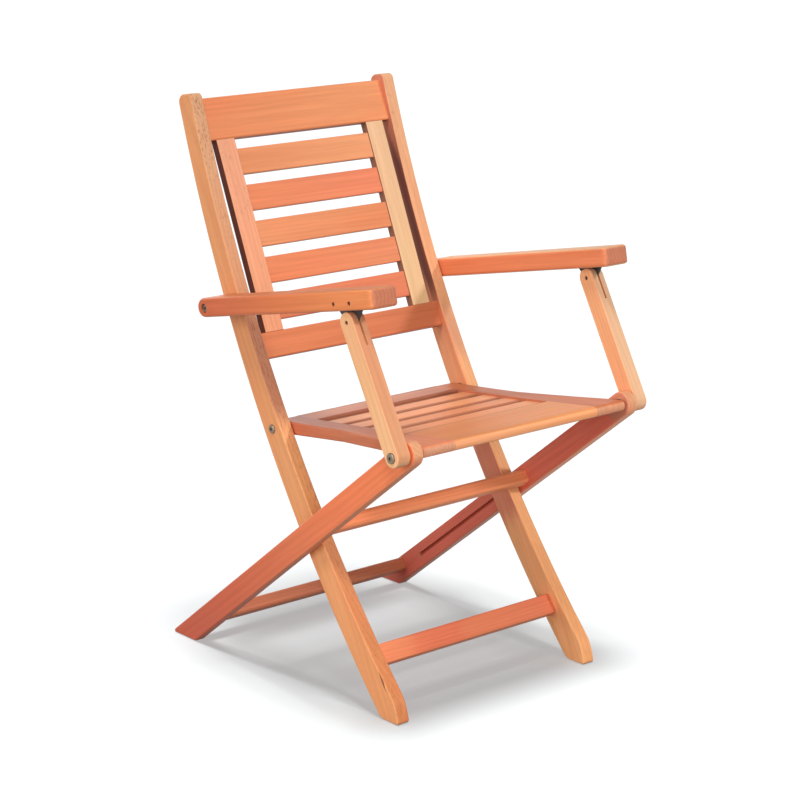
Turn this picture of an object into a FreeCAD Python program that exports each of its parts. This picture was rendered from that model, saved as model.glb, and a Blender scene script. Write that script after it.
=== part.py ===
import FreeCAD, Part
import math
import os
from collections import namedtuple

# A folding wooden armchair. Millimetres, +Z up, the floor at Z = 0 and the sitter facing -Y.
# Two bowed stiles carry the back and stand on the front feet. A pair of straight legs crosses them and
# stands on the rear feet. The seat hangs between both, and each arm with its post makes a parallelogram
# with the stile and the seat, so the whole chair folds when the front of the seat is lifted.

SIZES = {
    # pivots, in the side view
    "seat_pivot_depth": 60.65,
    "seat_pivot_height": 398.0,
    "seat_link": 341.0,
    "seat_pitch_angle": 6.65,
    "post_link": 208.0,
    "post_lean_angle": 29.5,
    "leg_slope_angle": 38.5,
    # bowed stiles
    "stile_inner_half": 186.0,
    "stile_thickness": 23.2,
    "stile_bow_radius": 2385.0,
    "stile_lean_angle": 30.7,
    "stile_setback": 1.2,
    "stile_foot_width": 46.5,
    "stile_top_width": 34.3,
    "stile_top_height": 893.8,
    "stile_toe_trim": 20.5,
    "stile_toe_height": 33.5,
    "stile_toe_sweep": 60.0,
    "stile_heel_round": 16.0,
    "stile_corner_round": 4.5,
    "stile_top_pitch_angle": 8.2,
    "stile_top_round": 9.0,
    "stile_crown_round": 13.0,
    # back panel
    "back_lean_angle": 23.45,
    "back_base_height": 492.0,
    "back_recess": 10.1,
    "crest_drop": 7.6,
    "back_rail_thickness": 18.0,
    "low_rail_height": 41.2,
    "crest_height": 69.0,
    "slat_post_width": 36.4,
    "slat_post_thickness": 15.0,
    "slat_post_gap": 13.9,
    "slat_post_recess": 1.0,
    "back_slat_count": 5,
    "back_slat_height": 42.4,
    "back_slat_thickness": 9.0,
    "back_slat_recess": 2.5,
    # stretcher between the front feet
    "front_stretcher_level": 81.5,
    "front_stretcher_height": 33.0,
    "front_stretcher_thickness": 18.0,
    "front_stretcher_recess": 15.0,
    # seat
    "seat_side_gap": 1.5,
    "seat_rail_width": 37.5,
    "seat_rail_drop": 12.5,
    "seat_rail_rise": 9.0,
    "seat_dish": 1.6,
    "seat_rear_overhang": 18.0,
    "seat_front_overhang": 16.0,
    "seat_nose_radius": 8.0,
    "seat_tail_radius": 5.0,
    "seat_flare_start": 140.0,
    "seat_flare_margin": 22.0,
    "seat_slat_count": 5,
    "seat_slat_gap": 8.0,
    "seat_slat_pitch": 50.2,
    "seat_first_gap": 40.5,
    "seat_slat_thickness": 14.0,
    "seat_slat_round": 3.0,
    "seat_slat_sink": 3.5,
    "seat_front_depth": 17.0,
    "seat_rail_round": 3.2,
    # crossing legs
    "leg_gap": 3.0,
    "leg_thickness": 19.0,
    "leg_width": 39.3,
    "leg_tip_trim": 5.8,
    "leg_corner_round": 2.7,
    "groove_width": 6.6,
    "groove_depth": 8.0,
    "groove_end": 596.0,
    "mid_stretcher_width": 25.0,
    "mid_stretcher_thickness": 23.0,
    "mid_stretcher_gap": 2.2,
    "rear_stretcher_setback": 50.8,
    "rear_stretcher_lift": 6.5,
    "rear_stretcher_width": 25.0,
    "rear_stretcher_thickness": 22.0,
    # arm posts
    "post_gap": 2.0,
    "post_thickness": 24.5,
    "post_width": 30.5,
    "kerf_clearance": 0.4,
    "post_kerf_depth": 56.0,
    # arms
    "arm_gap": 2.0,
    "arm_width": 52.0,
    "arm_thickness": 30.2,
    "arm_slope_angle": 11.95,
    "arm_lift": 1.0,
    "arm_reach": 410.0,
    "arm_tail": 2.5,
    "arm_corner_radius": 9.0,
    "arm_edge_round": 5.0,
    # hinge plates between the arms and the posts
    "plate_thickness": 3.0,
    "plate_length": 53.0,
    "plate_sink": 20.0,
    "plate_eye_radius": 10.0,
    "plate_pin_radius": 3.3,
    "plate_pin_spacing": 36.0,
    "plate_pin_depth": 11.0,
    "plate_pin_length": 34.0,
    "hinge_pin_radius": 3.4,
    "pin_recess": 2.5,
    # bolts and washers
    "bolt_radius": 4.0,
    "seat_bolt_head_radius": 7.3,
    "front_bolt_head_radius": 8.3,
    "arm_bolt_head_radius": 7.0,
    "bolt_head_height": 2.6,
    "bolt_head_dome": 2.0,
    "bolt_embed": 26.0,
    "arm_bolt_embed": 16.0,
    "socket_radius": 3.0,
    "socket_depth": 1.8,
    "counterbore_radius": 7.6,
    "counterbore_depth": 5.5,
    "washer_radius": 9.0,
    "guide_pin_radius": 3.0,
    "guide_pin_embed": 14.0,
    "bore_spare": 1.0,
    # joints of the wood
    "tenon_length": 12.0,
    "tenon_shoulder": 4.0,
    # fits and softened edges
    "running_fit": 0.05,
    "body_clearance": 0.3,
    "edge_round": 2.5,
    "rail_round": 3.0,
    "stretcher_round": 6.0,
    "slat_round": 2.0,
}

SIDES = {"right": -1, "left": 1}

doc = FreeCAD.newDocument("folding_armchair")
dims = doc.addObject("Spreadsheet::Sheet", "dims")
for row, (alias, number) in enumerate(SIZES.items(), start=1):
    dims.set(f"A{row}", alias)
    dims.set(f"B{row}", str(number))
    dims.setAlias(f"B{row}", alias)
doc.recompute()


def size(alias):
    return float(dims.get(alias))


def sine(degrees):
    return math.sin(math.radians(degrees))


def cosine(degrees):
    return math.cos(math.radians(degrees))


def shifted(point, step, distance=1.0):
    return (point[0] + distance * step[0], point[1] + distance * step[1])


# Pivots in the side view, as (depth, height).
seat_pivot = (size("seat_pivot_depth"), size("seat_pivot_height"))
seat_forward = (-cosine(size("seat_pitch_angle")), sine(size("seat_pitch_angle")))
front_pivot = shifted(seat_pivot, seat_forward, size("seat_link"))
post_up = (sine(size("post_lean_angle")), cosine(size("post_lean_angle")))
arm_pivot = shifted(seat_pivot, post_up, size("post_link"))
arm_hinge = shifted(front_pivot, post_up, size("post_link"))
leg_down = (cosine(size("leg_slope_angle")), -sine(size("leg_slope_angle")))

# Layers of the side frames, outward from the middle of the chair.
stile_outer = size("stile_inner_half") + size("stile_thickness")
leg_inner = stile_outer + size("leg_gap")
leg_outer = leg_inner + size("leg_thickness")
post_inner = leg_outer + size("post_gap")
post_outer = post_inner + size("post_thickness")
post_middle = post_inner + size("post_thickness") / 2
arm_inner = stile_outer + size("arm_gap")
arm_outer = arm_inner + size("arm_width")
seat_rail_outer = size("stile_inner_half") - size("seat_side_gap")
seat_rail_inner = seat_rail_outer - size("seat_rail_width")
seat_front_outer = leg_inner - size("leg_gap")
slat_post_outer = size("stile_inner_half") - size("slat_post_gap")
slat_post_inner = slat_post_outer - size("slat_post_width")

# The stile's centre line is an arc that bulges to the rear and passes just behind the seat pivot.
bow = size("stile_bow_radius")
bow_forward = (-cosine(size("stile_lean_angle")), sine(size("stile_lean_angle")))
bow_centre = shifted(seat_pivot, bow_forward, bow - size("stile_setback"))


def stile_lean_at(height):
    return math.degrees(math.asin((bow_centre[1] - height) / bow))


def stile_width_at(height):
    share = height / size("stile_top_height")
    return size("stile_foot_width") + share * (size("stile_top_width") - size("stile_foot_width"))


def stile_point(height, across):
    """Point of the stile beside its centre line: across runs from -0.5 at the front to 0.5 at the rear."""
    lean = stile_lean_at(height)
    reach = bow + across * stile_width_at(height)
    return (bow_centre[0] + reach * cosine(lean), bow_centre[1] - reach * sine(lean))


def reach_to_circle(point, step, centre, radius):
    """Distance from a point, along a step, to the nearer place where that line meets a circle."""
    away = (point[0] - centre[0], point[1] - centre[1])
    along = away[0] * step[0] + away[1] * step[1]
    root = math.sqrt(along * along - (away[0] ** 2 + away[1] ** 2 - radius * radius))
    return min(root - along, -root - along, key=abs)


# Where the centre lines of the leg and the stile cross, and where the leg's meets the floor.
crossing_reach = reach_to_circle(front_pivot, leg_down, bow_centre, bow)
foot_reach = front_pivot[1] / sine(size("leg_slope_angle"))
guide_point = shifted(front_pivot, leg_down, crossing_reach)


def body_at(label, point, tilt):
    """Body whose own frame stands at a side-view point and leans to the rear by tilt degrees."""
    body = doc.addObject("PartDesign::Body", label)
    body.Label = label
    turn = FreeCAD.Rotation(FreeCAD.Vector(1, 0, 0), -tilt)
    body.Placement = FreeCAD.Placement(FreeCAD.Vector(0, *point), turn)
    return body


def plane_of(body, role):
    for feature in body.Origin.OriginFeatures:
        if feature.Role == role:
            return feature


def arc_through(first, middle, last):
    """Arc of a circle through three points, counted counter-clockwise."""
    ends = [FreeCAD.Vector(*point, 0) for point in (first, middle, last)]
    circle = Part.Circle(*ends)
    centre = circle.Center
    angles = [math.atan2(point.y - centre.y, point.x - centre.x) for point in ends]
    turn = (angles[1] - angles[0]) % (2 * math.pi)
    whole = (angles[2] - angles[0]) % (2 * math.pi)
    begin, end = (angles[0], angles[2]) if turn < whole else (angles[2], angles[0])
    return Part.ArcOfCircle(Part.Circle(centre, FreeCAD.Vector(0, 0, 1), circle.Radius), begin, end)


def draw(sketch, path):
    """Closed outline: corner points, with ("through", point) between two corners joined by an arc."""
    corners = [step for step in path if step[0] != "through"]
    position = 0
    for step, following in zip(path, path[1:] + path[:1]):
        if step[0] == "through":
            continue
        position += 1
        target = corners[position % len(corners)]
        if following[0] == "through":
            sketch.addGeometry(arc_through(step, following[1], target))
        else:
            sketch.addGeometry(Part.LineSegment(FreeCAD.Vector(*step, 0), FreeCAD.Vector(*target, 0)))


def rounded(before, corner, after, radius):
    """Corner of an outline replaced by an arc of a radius that touches both its sides."""
    sides = []
    for end in (before, after):
        run = math.dist(corner, end)
        sides.append(((end[0] - corner[0]) / run, (end[1] - corner[1]) / run))
    cosine_between = sides[0][0] * sides[1][0] + sides[0][1] * sides[1][1]
    half = math.acos(cosine_between) / 2
    setback = radius / math.tan(half)
    inward = (sides[0][0] + sides[1][0], sides[0][1] + sides[1][1])
    length = math.hypot(*inward)
    nearest = radius / math.sin(half) - radius
    middle = shifted(corner, inward, nearest / length)
    return [shifted(corner, sides[0], setback), ("through", middle), shifted(corner, sides[1], setback)]


def plank(body, path, start, thickness):
    """Board with a side-view outline, from X = start outward by its thickness."""
    sketch = body.newObject("Sketcher::SketchObject", body.Label + "_outline")
    sketch.AttachmentSupport = (plane_of(body, "YZ_Plane"), [""])
    sketch.MapMode = "FlatFace"
    sketch.AttachmentOffset = FreeCAD.Placement(FreeCAD.Vector(0, 0, start), FreeCAD.Rotation())
    draw(sketch, path)
    pad = body.newObject("PartDesign::Pad", body.Label + "_board")
    pad.Profile = sketch
    pad.setExpression("Length", thickness)
    doc.recompute()
    return pad


def on_side_faces(edge):
    return edge.BoundBox.XLength < 0.001


def along_the_width(edge):
    return edge.BoundBox.YLength < 0.001 and edge.BoundBox.ZLength < 0.001


def upright(edge):
    return edge.BoundBox.XLength < 0.001 and edge.BoundBox.YLength < 0.001


def edges_at(*corners):
    """Choice of the edges that run across the chair at corners of a side-view outline."""

    def chosen(edge):
        box = edge.BoundBox
        return along_the_width(edge) and any(
            math.dist((box.YMin, box.ZMin), corner) < 0.01 for corner in corners
        )

    return chosen


def soften(body, feature, chosen, radius):
    """Round the chosen edges of a feature, as sanded arrises are."""
    fillet = body.newObject("PartDesign::Fillet", body.Label + "_arris")
    names = [f"Edge{index}" for index, edge in enumerate(feature.Shape.Edges, start=1) if chosen(edge)]
    fillet.Base = (feature, names)
    fillet.setExpression("Radius", radius)
    doc.recompute()
    return fillet


def block(body, kind, placement, length, width, height):
    """Box added to or taken from a body, its sizes given as expressions."""
    box = body.newObject(f"PartDesign::{kind}Box", f"{body.Label}_{kind.lower()}_box")
    box.setExpression("Length", length)
    box.setExpression("Width", width)
    box.setExpression("Height", height)
    box.Placement = placement
    doc.recompute()
    return box


def at(x, y, z):
    return FreeCAD.Placement(FreeCAD.Vector(x, y, z), FreeCAD.Rotation())


def bore(body, side, near, far, point, radius):
    """Round hole along X between two distances from the middle, at a point of the body's side view."""
    hole = body.newObject("PartDesign::SubtractiveCylinder", body.Label + "_bore")
    hole.Height = far - near
    hole.setExpression("Radius", radius)
    turn = FreeCAD.Rotation(FreeCAD.Vector(0, 1, 0), 90)
    hole.Placement = FreeCAD.Placement(FreeCAD.Vector(lowest_x(side, near, far), *point), turn)
    doc.recompute()
    return hole


def lowest_x(side, near, far):
    """X of the face that lies nearest to -X, for a layer on the right or the left side."""
    return near if side > 0 else -far


# Section of a board that runs across the chair: its lower front corner, its lean and its sizes.
Section = namedtuple("Section", "point tilt thickness height")


def cross_board(label, section, half_length, rounding):
    """Board across the chair with its long arrises rounded."""
    body = body_at(label, section.point, section.tilt)
    board = body.newObject("PartDesign::AdditiveBox", label + "_board")
    board.Length = 2 * half_length
    board.setExpression("Width", section.thickness)
    board.setExpression("Height", section.height)
    board.Placement = at(-half_length, 0, 0)
    doc.recompute()
    soften(body, board, along_the_width, rounding)
    return body


def tenon_size(measure):
    return f"{measure} - 2 * dims.tenon_shoulder"


def add_tenons(body, section, half_length):
    """Tenon through the middle of a cross board, standing out at both of its ends."""
    shoulder = size("tenon_shoulder")
    long_half = half_length + size("tenon_length")
    block(
        body,
        "Additive",
        at(-long_half, shoulder, shoulder),
        f"2 * ({half_length} + dims.tenon_length)",
        tenon_size(section.thickness),
        tenon_size(section.height),
    )


def cut_mortise(body, side, face, section):
    """Pocket in a side piece for the tenon of a cross board, from the side piece's inner face."""
    shoulder = size("tenon_shoulder")
    start = lowest_x(side, face, face + size("tenon_length"))
    frame = FreeCAD.Placement(
        FreeCAD.Vector(0, *section.point),
        FreeCAD.Rotation(FreeCAD.Vector(1, 0, 0), -section.tilt),
    )
    place = body.Placement.inverse().multiply(frame).multiply(at(start, shoulder, shoulder))
    block(
        body,
        "Subtractive",
        place,
        "dims.tenon_length",
        tenon_size(section.thickness),
        tenon_size(section.height),
    )


# Sections of the boards that join the stiles.
back_rearward = (cosine(size("back_lean_angle")), -sine(size("back_lean_angle")))
back_base = shifted(stile_point(size("back_base_height"), -0.5), back_rearward, size("back_recess"))
back_up = (sine(size("back_lean_angle")), cosine(size("back_lean_angle")))
crest_top = size("stile_top_height") - size("crest_drop")
crest_start = (crest_top - back_base[1]) / back_up[1] - size("crest_height")
back_opening = crest_start - size("low_rail_height")
low_rail = Section(back_base, size("back_lean_angle"), "dims.back_rail_thickness", "dims.low_rail_height")
crest = Section(
    shifted(back_base, back_up, crest_start),
    size("back_lean_angle"),
    "dims.back_rail_thickness",
    "dims.crest_height",
)
stretcher_lean = stile_lean_at(size("front_stretcher_level"))
stretcher_front = shifted(
    stile_point(size("front_stretcher_level"), -0.5),
    (cosine(stretcher_lean), -sine(stretcher_lean)),
    size("front_stretcher_recess"),
)
stretcher_up = (sine(stretcher_lean), cosine(stretcher_lean))
front_stretcher = Section(
    shifted(stretcher_front, stretcher_up, -size("front_stretcher_height") / 2),
    stretcher_lean,
    "dims.front_stretcher_thickness",
    "dims.front_stretcher_height",
)


def leg_section(reach, lift, width, thickness):
    """Section of a board between the legs, from its place down the leg and above the leg's centre line."""
    leg_rise = (sine(size("leg_slope_angle")), cosine(size("leg_slope_angle")))
    corner = shifted(shifted(front_pivot, leg_down, reach), leg_rise, lift - size(thickness) / 2)
    return Section(corner, size("leg_slope_angle"), f"dims.{width}", f"dims.{thickness}")


stile_half_at_crossing = stile_width_at(guide_point[1]) / 2
mid_reach = crossing_reach - stile_half_at_crossing - size("mid_stretcher_gap") - size("mid_stretcher_width")
mid_stretcher = leg_section(mid_reach, 0, "mid_stretcher_width", "mid_stretcher_thickness")
rear_reach = foot_reach - size("rear_stretcher_setback") - size("rear_stretcher_width") / 2
rear_stretcher = leg_section(
    rear_reach, size("rear_stretcher_lift"), "rear_stretcher_width", "rear_stretcher_thickness"
)

nodes = {}


def keep(body):
    nodes[body.Label] = body
    return body


def edge_circle(across):
    """Circle of one edge of the stile: the front one at -0.5, the rear one at 0.5."""
    heights = (0, size("stile_top_height") / 2, size("stile_top_height"))
    points = [stile_point(height, across) for height in heights]
    circle = Part.Circle(*[FreeCAD.Vector(*point, 0) for point in points])
    return (circle.Center.x, circle.Center.y), circle.Radius, points[1]


def stile_top(centre, radius):
    """Upper corner of one edge of the stile, on a top that rises a little to the front."""
    middle = stile_point(size("stile_top_height"), 0)
    pitch = size("stile_top_pitch_angle")
    forward = (-cosine(pitch), sine(pitch))
    return shifted(middle, forward, reach_to_circle(middle, forward, centre, radius))


def stile_edge_at(height, centre, radius):
    """Point of one edge of the stile at a height above the floor."""
    return (centre[0] + math.sqrt(radius**2 - (centre[1] - height) ** 2), height)


def make_stile(name, side):
    body = body_at(f"{name}_stile", (0, 0), 0)
    front_centre, front_radius, front_middle = edge_circle(-0.5)
    rear_centre, rear_radius, rear_middle = edge_circle(0.5)
    heel = stile_edge_at(0, rear_centre, rear_radius)
    toe = shifted(stile_edge_at(0, front_centre, front_radius), (1, 0), size("stile_toe_trim"))
    toe_top = stile_edge_at(size("stile_toe_height"), front_centre, front_radius)
    front_top = stile_top(front_centre, front_radius)
    rear_top = stile_top(rear_centre, rear_radius)
    path = [heel, toe, toe_top, ("through", front_middle), front_top, rear_top, ("through", rear_middle)]
    board = plank(body, path, lowest_x(side, size("stile_inner_half"), stile_outer), "dims.stile_thickness")
    board = soften(body, board, edges_at(toe), "dims.stile_corner_round")
    board = soften(body, board, edges_at(heel), "dims.stile_heel_round")
    board = soften(body, board, edges_at(toe_top), "dims.stile_toe_sweep")
    board = soften(body, board, edges_at(front_top), "dims.stile_top_round")
    board = soften(body, board, edges_at(rear_top), "dims.stile_crown_round")
    soften(body, board, on_side_faces, "dims.edge_round")
    for section in (crest, low_rail, front_stretcher):
        cut_mortise(body, side, size("stile_inner_half"), section)
    bore(body, side, size("stile_inner_half"), stile_outer, seat_pivot, "dims.bolt_radius")
    bore(body, side, stile_outer - size("arm_bolt_embed"), stile_outer, arm_pivot, "dims.bolt_radius")
    bore(body, side, stile_outer - size("guide_pin_embed"), stile_outer, guide_point, "dims.guide_pin_radius")
    return keep(body)


def make_back():
    for label, section in (
        ("crest_rail", crest),
        ("lower_back_rail", low_rail),
        ("front_stretcher", front_stretcher),
    ):
        body = cross_board(label, section, size("stile_inner_half"), "dims.rail_round")
        add_tenons(body, section, size("stile_inner_half"))
        keep(body)
    for name, side in SIDES.items():
        body = body_at(f"{name}_slat_post", back_base, size("back_lean_angle"))
        board = block(
            body,
            "Additive",
            at(
                lowest_x(side, slat_post_inner, slat_post_outer),
                size("slat_post_recess"),
                size("low_rail_height"),
            ),
            "dims.slat_post_width",
            "dims.slat_post_thickness",
            f"{back_opening}",
        )
        soften(body, board, upright, "dims.slat_round")
        keep(body)
    count = int(size("back_slat_count"))
    gap = (back_opening - count * size("back_slat_height")) / (count + 1)
    for index in range(count):
        start = size("low_rail_height") + gap + index * (gap + size("back_slat_height"))
        corner = shifted(back_base, back_up, start)
        depth = size("slat_post_recess") + size("back_slat_recess")
        corner = shifted(corner, back_rearward, depth)
        lean = size("back_lean_angle")
        section = Section(corner, lean, "dims.back_slat_thickness", "dims.back_slat_height")
        keep(cross_board(f"back_slat_{count - index}", section, slat_post_inner, "dims.slat_round"))


# The seat's own frame stands at the seat pivot and runs forward along -Y.
seat_rear = size("seat_rear_overhang")
seat_front = -size("seat_link") - size("seat_front_overhang")
seat_middle = (seat_rear + seat_front) / 2
seat_half = (seat_rear - seat_front) / 2


def seat_top(depth):
    """Height of the dished top of the seat above the seat pivot, at a depth of its own frame."""
    share = (depth - seat_middle) / seat_half
    return size("seat_rail_rise") - size("seat_dish") * (1 - share * share)


def seat_outline(rear, front, thickness_at_rear, thickness_at_front, nose, tail, sink=0):
    """Side view of a seat board between two depths, with its top in the dish of the seat or under it."""
    rear_top = (rear, seat_top(rear) - sink)
    front_top = (front, seat_top(front) - sink)
    rear_low = (rear, rear_top[1] - thickness_at_rear)
    front_low = (front, front_top[1] - thickness_at_front)
    middle = ((rear + front) / 2, seat_top((rear + front) / 2) - sink)
    path = [rear_low]
    path += rounded(rear_low, front_low, front_top, nose)
    path += rounded(front_low, front_top, middle, nose)
    path += [("through", middle)]
    path += rounded(middle, rear_top, rear_low, tail)
    return path


def make_seat_rail(name, side):
    body = body_at(f"{name}_seat_rail", seat_pivot, size("seat_pitch_angle"))
    depth = size("seat_rail_rise") + size("seat_rail_drop")
    front_depth = size("seat_front_depth")
    nose = size("seat_nose_radius")
    path = seat_outline(seat_rear, seat_front, depth, front_depth, nose, size("seat_tail_radius"))
    start = lowest_x(side, seat_rail_inner, seat_front_outer)
    plank(body, path, start, f"{seat_front_outer - seat_rail_inner}")
    flare_front = -size("seat_link") + size("seat_flare_margin")
    waste = size("seat_rail_width")
    corners = [
        (seat_rail_outer, seat_rear + waste),
        (seat_rail_outer, -size("seat_flare_start")),
        (seat_front_outer, flare_front),
        (seat_front_outer + waste, flare_front),
        (seat_front_outer + waste, seat_rear + waste),
    ]
    sketch = body.newObject("Sketcher::SketchObject", body.Label + "_flare")
    sketch.AttachmentSupport = (plane_of(body, "XY_Plane"), [""])
    sketch.MapMode = "FlatFace"
    draw(sketch, [(side * corner[0], corner[1]) for corner in corners])
    pocket = body.newObject("PartDesign::Pocket", body.Label + "_taper")
    pocket.Profile = sketch
    pocket.Type = "ThroughAll"
    pocket.Midplane = True
    doc.recompute()
    soften(body, pocket, lambda edge: is_outer_arris(edge, side), "dims.seat_rail_round")
    spare = size("bore_spare")
    embed = size("bolt_embed")
    fit = "dims.bolt_radius + dims.running_fit"
    bore(body, side, seat_rail_outer - embed - spare, seat_rail_outer, (0, 0), fit)
    front = (-size("seat_link"), 0)
    bore(body, side, seat_front_outer - embed, seat_front_outer, front, "dims.bolt_radius")
    return keep(body)


def is_outer_arris(edge, side):
    """Long top or bottom edge on the outer face of a seat rail."""
    box = edge.BoundBox
    nearest = min(side * box.XMin, side * box.XMax)
    return nearest > seat_rail_outer - 0.001 and box.YLength > 1


def make_seat_slats():
    count = int(size("seat_slat_count"))
    half_gap = size("seat_slat_gap") / 2
    thickness = size("seat_slat_thickness")
    rounding = size("seat_slat_round")
    width = 2 * seat_rail_inner
    first = -size("seat_first_gap")
    for index in range(count):
        line = first - index * size("seat_slat_pitch")
        rear = seat_rear if index == 0 else line + size("seat_slat_pitch") - half_gap
        body = body_at(f"seat_slat_{index + 1}", seat_pivot, size("seat_pitch_angle"))
        sink = 0 if index == 0 else size("seat_slat_sink")
        path = seat_outline(rear, line + half_gap, thickness, thickness, rounding, rounding, sink)
        plank(body, path, -seat_rail_inner, f"{width}")
        keep(body)
    rear = first - (count - 1) * size("seat_slat_pitch") - half_gap
    body = body_at("seat_front_slat", seat_pivot, size("seat_pitch_angle"))
    front_depth = size("seat_front_depth")
    path = seat_outline(rear, seat_front, thickness, front_depth, size("seat_nose_radius"), rounding)
    plank(body, path, -seat_rail_inner, f"{width}")
    keep(body)


def make_leg(name, side):
    """Leg in its own frame: from the front pivot down along Y, with its width along Z."""
    body = body_at(f"{name}_leg", front_pivot, size("leg_slope_angle"))
    half = size("leg_width") / 2
    slope_sine = sine(size("leg_slope_angle"))
    slope_cosine = cosine(size("leg_slope_angle"))
    front_foot = ((front_pivot[1] - half * slope_cosine) / slope_sine, -half)
    tip = ((front_pivot[1] + half * slope_cosine) / slope_sine, half)
    trim = size("leg_tip_trim")
    rear_foot = (tip[0] - trim * slope_cosine, tip[1] - trim * slope_sine)
    rear_top = (tip[0] - trim / slope_cosine, half)
    path = [(0, half), ("through", (-half, 0)), (0, -half), front_foot, rear_foot, rear_top]
    board = plank(body, path, lowest_x(side, leg_inner, leg_outer), "dims.leg_thickness")
    board = soften(body, board, edges_at(front_foot, rear_foot, rear_top), "dims.leg_corner_round")
    soften(body, board, on_side_faces, "dims.edge_round")
    for section in (mid_stretcher, rear_stretcher):
        cut_mortise(body, side, leg_inner, section)
    start = crossing_reach - size("groove_width") / 2
    block(
        body,
        "Subtractive",
        at(lowest_x(side, leg_inner, leg_inner + size("groove_depth")), start, -size("groove_width") / 2),
        "dims.groove_depth",
        f"dims.groove_end - {start}",
        "dims.groove_width",
    )
    bore(body, side, leg_inner, leg_outer, (0, 0), "dims.bolt_radius + dims.running_fit")
    return keep(body)


def make_leg_stretchers():
    for label, section in (("mid_stretcher", mid_stretcher), ("rear_stretcher", rear_stretcher)):
        body = cross_board(label, section, leg_inner, "dims.stretcher_round")
        add_tenons(body, section, leg_inner)
        keep(body)


def make_post(name, side):
    """Arm post in its own frame: from the front pivot up along Z to the hinge under the arm."""
    body = body_at(f"{name}_arm_post", front_pivot, size("post_lean_angle"))
    half = size("post_width") / 2
    length = size("post_link")
    path = [
        (half, 0),
        (half, length),
        ("through", (0, length + half)),
        (-half, length),
        (-half, 0),
        ("through", (0, -half)),
    ]
    board = plank(body, path, lowest_x(side, post_inner, post_outer), "dims.post_thickness")
    soften(body, board, on_side_faces, "dims.slat_round")
    half_kerf = size("plate_thickness") / 2 + size("kerf_clearance")
    start = lowest_x(side, post_middle - half_kerf, post_middle + half_kerf)
    block(
        body,
        "Subtractive",
        at(start, -half, length + half - size("post_kerf_depth")),
        "dims.plate_thickness + 2 * dims.kerf_clearance",
        "dims.post_width",
        "dims.post_kerf_depth",
    )
    bore(body, side, post_inner, post_outer, (0, 0), "dims.bolt_radius + dims.running_fit")
    bore(body, side, post_inner, post_outer, (0, length), "dims.hinge_pin_radius")
    return keep(body)


# The arm's own frame stands at the arm pivot and runs forward along -Y.
arm_turn = FreeCAD.Rotation(FreeCAD.Vector(1, 0, 0), -size("arm_slope_angle"))
arm_frame = FreeCAD.Placement(FreeCAD.Vector(0, *arm_pivot), arm_turn)
hinge_in_arm = arm_frame.inverse().multVec(FreeCAD.Vector(0, *arm_hinge))
hinge_spot = (hinge_in_arm.y, hinge_in_arm.z)
arm_underside = size("arm_lift") - size("arm_thickness") / 2
plate_pin_spots = [
    (hinge_spot[0] + turn * size("plate_pin_spacing") / 2, arm_underside + size("plate_pin_depth"))
    for turn in (-1, 1)
]
plate_pin_inner = arm_outer - size("plate_pin_length")


def make_arm(name, side):
    body = body_at(f"{name}_armrest", arm_pivot, size("arm_slope_angle"))
    half = size("arm_thickness") / 2
    middle = size("arm_lift")
    front = -size("arm_reach")
    rear = size("arm_tail")
    path = [
        (rear, middle + half),
        (front, middle + half),
        (front, middle - half),
        (rear, middle - half),
        ("through", (rear + half, middle)),
    ]
    board = plank(body, path, lowest_x(side, arm_inner, arm_outer), "dims.arm_width")
    corners = soften(body, board, upright, "dims.arm_corner_radius")
    soften(body, corners, on_side_faces, "dims.arm_edge_round")
    half_plate = size("plate_thickness") / 2
    start = lowest_x(side, post_middle - half_plate, post_middle + half_plate)
    block(
        body,
        "Subtractive",
        at(start, hinge_spot[0] - size("plate_length") / 2, arm_underside),
        "dims.plate_thickness",
        "dims.plate_length",
        "dims.plate_sink",
    )
    for spot in plate_pin_spots:
        bore(body, side, plate_pin_inner, arm_outer, spot, "dims.plate_pin_radius")
    bore(body, side, arm_inner, arm_outer, (0, 0), "dims.bolt_radius + dims.running_fit")
    bore(body, side, arm_outer - size("counterbore_depth"), arm_outer, (0, 0), "dims.counterbore_radius")
    return keep(body)


def tangent_point(outside, centre, radius, turn):
    """Where a line from a point touches a circle, on the side that turn gives."""
    away = (outside[0] - centre[0], outside[1] - centre[1])
    angle = math.atan2(away[1], away[0]) + turn * math.acos(radius / math.hypot(*away))
    return (centre[0] + radius * math.cos(angle), centre[1] + radius * math.sin(angle))


def make_hinge_plate(name, side):
    """Steel tongue let into the underside of the arm, with an eye that the post turns on."""
    body = body_at(f"{name}_hinge_plate", arm_pivot, size("arm_slope_angle"))
    half = size("plate_length") / 2
    eye = size("plate_eye_radius")
    rear = (hinge_spot[0] + half, arm_underside)
    front = (hinge_spot[0] - half, arm_underside)
    sink = size("plate_sink")
    path = [
        (rear[0], rear[1] + sink),
        (front[0], front[1] + sink),
        front,
        tangent_point(front, hinge_spot, eye, 1),
        ("through", (hinge_spot[0], hinge_spot[1] - eye)),
        tangent_point(rear, hinge_spot, eye, -1),
        rear,
    ]
    half_plate = size("plate_thickness") / 2
    near = post_middle - half_plate
    far = post_middle + half_plate
    plank(body, path, lowest_x(side, near, far), "dims.plate_thickness")
    for spot in plate_pin_spots:
        bore(body, side, near, far, spot, "dims.plate_pin_radius")
    bore(body, side, near, far, hinge_spot, "dims.hinge_pin_radius + dims.running_fit")
    return keep(body)


def axle(label, side, start, point):
    """Body for a turned piece: its own Z runs outward along X from a distance from the middle."""
    body = doc.addObject("PartDesign::Body", label)
    body.Label = label
    turn = FreeCAD.Rotation(FreeCAD.Vector(0, 1, 0), side * 90)
    body.Placement = FreeCAD.Placement(FreeCAD.Vector(side * start, *point), turn)
    return body


def round_bar(body, kind, start, length, radius):
    bar = body.newObject(f"PartDesign::{kind}Cylinder", f"{body.Label}_{kind.lower()}_bar")
    bar.Height = length
    bar.setExpression("Radius", radius)
    bar.Placement = at(0, 0, start)
    doc.recompute()
    return bar


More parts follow.
